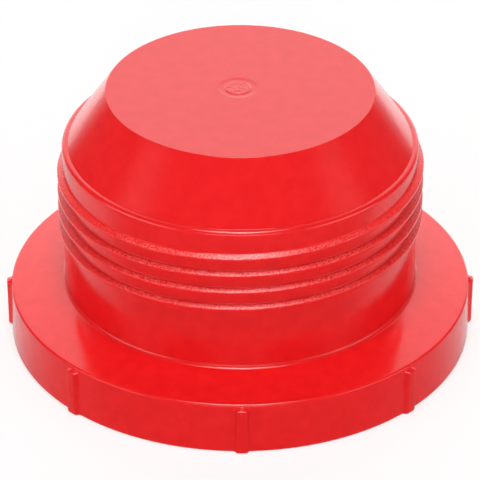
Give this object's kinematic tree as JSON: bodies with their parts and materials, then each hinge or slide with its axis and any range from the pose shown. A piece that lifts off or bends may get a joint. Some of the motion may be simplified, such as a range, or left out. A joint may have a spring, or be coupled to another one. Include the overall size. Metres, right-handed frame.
{
  "type": "threaded protective plug",
  "caption": "Flanged plastic plug with a short outside thread and a tapered nose; screws by hand into an open port to keep dirt out.",
  "frame": {"origin": "centre of the rim that the flange stands on", "axes": "+Z along the plug's axis, from the flange's rim to the end disc; -Y and +X each point at a grip rib"},
  "size_m": [0.0534, 0.0534, 0.0306],
  "materials": {
    "plug_plastic": "semi-gloss moulded polyethylene"
  },
  "bodies": {
    "root": {"threaded_plug": "plug_plastic"}
  },
  "joints": []
}
